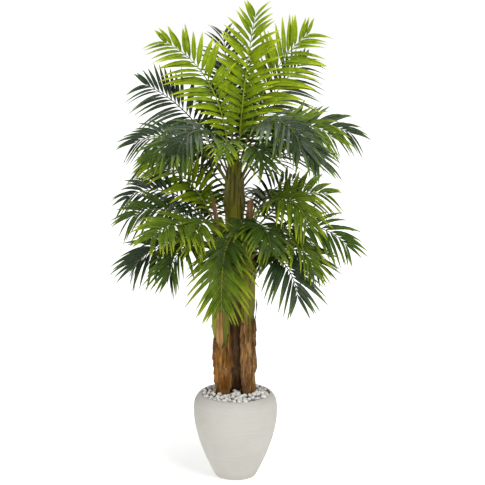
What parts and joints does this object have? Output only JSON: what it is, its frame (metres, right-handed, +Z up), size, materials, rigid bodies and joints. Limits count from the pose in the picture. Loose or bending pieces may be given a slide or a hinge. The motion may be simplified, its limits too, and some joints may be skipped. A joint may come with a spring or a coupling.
{
  "type": "potted palm",
  "caption": "Tall potted palm with feathered fronds in an upper and a lower crown on bark-wrapped stems, standing in a round tapered pot dressed with pebbles.",
  "frame": {"origin": "centre of the pot's flat underside, on the ground", "axes": "+Z up along the stems, -Y towards the front, +X to the right of someone facing the front"},
  "size_m": [0.8941, 0.8347, 1.6866],
  "materials": {
    "pot_shell": "matt off-white, fine horizontal ribs",
    "potting_soil": "loose dark fill",
    "pebble_dressing": "white chips, slightly rough",
    "bark_tan": "fibrous, matt",
    "bark_dark": "fibrous, matt",
    "dry_husk": "dry, torn, matt",
    "green_shaft": "satin, striped olive",
    "leaf_lime": "satin, ribbed",
    "leaf_olive": "satin, ribbed",
    "leaf_deep": "satin, ribbed",
    "leaf_dark": "satin, ribbed"
  },
  "bodies": {
    "root": {"frond_lower_01": "leaf_lime", "frond_lower_02": "leaf_dark", "frond_lower_03": "leaf_deep", "frond_lower_04": "leaf_olive", "frond_lower_05": "leaf_dark", "frond_lower_06": "leaf_olive", "frond_lower_07": "leaf_dark", "frond_lower_08": "leaf_deep", "frond_lower_09": "leaf_olive", "frond_lower_10": "leaf_olive", "frond_lower_11": "leaf_dark", "frond_lower_12": "leaf_deep", "frond_lower_13": "leaf_dark", "frond_lower_14": "leaf_deep", "frond_lower_15": "leaf_olive", "frond_lower_16": "leaf_deep", "frond_lower_17": "leaf_deep", "frond_lower_18": "leaf_dark", "frond_lower_19": "leaf_olive", "frond_lower_20": "leaf_olive", "frond_lower_21": "leaf_olive", "frond_lower_22": "leaf_deep", "frond_lower_23": "leaf_deep", "frond_lower_24": "leaf_olive", "frond_lower_25": "leaf_deep", "frond_lower_26": "leaf_olive", "frond_upper_01": "leaf_lime", "frond_upper_02": "leaf_dark", "frond_upper_03": "leaf_lime", "frond_upper_04": "leaf_lime", "frond_upper_05": "leaf_dark", "frond_upper_06": "leaf_dark", "frond_upper_07": "leaf_dark", "frond_upper_08": "leaf_olive", "frond_upper_09": "leaf_dark", "frond_upper_10": "leaf_dark", "frond_upper_11": "leaf_dark", "frond_upper_12": "leaf_olive", "frond_upper_13": "leaf_deep", "frond_upper_14": "leaf_olive", "frond_upper_15": "leaf_deep", "frond_upper_16": "leaf_deep", "frond_upper_17": "leaf_deep", "frond_upper_18": "leaf_dark", "frond_upper_19": "leaf_deep", "frond_upper_20": "leaf_deep", "husk_left_stub": "dry_husk", "husk_left_tongue": "dry_husk", "husk_middle_collar": "dry_husk", "husk_right_stub": "dry_husk", "husk_right_thorn": "dry_husk", "pebbles": "pebble_dressing", "pot": "pot_shell", "shaft_left": "green_shaft", "shaft_middle": "green_shaft", "shaft_right": "green_shaft", "soil": "potting_soil", "trunk_left": "bark_tan", "trunk_middle": "bark_dark", "trunk_right": "bark_tan"}
  },
  "joints": []
}
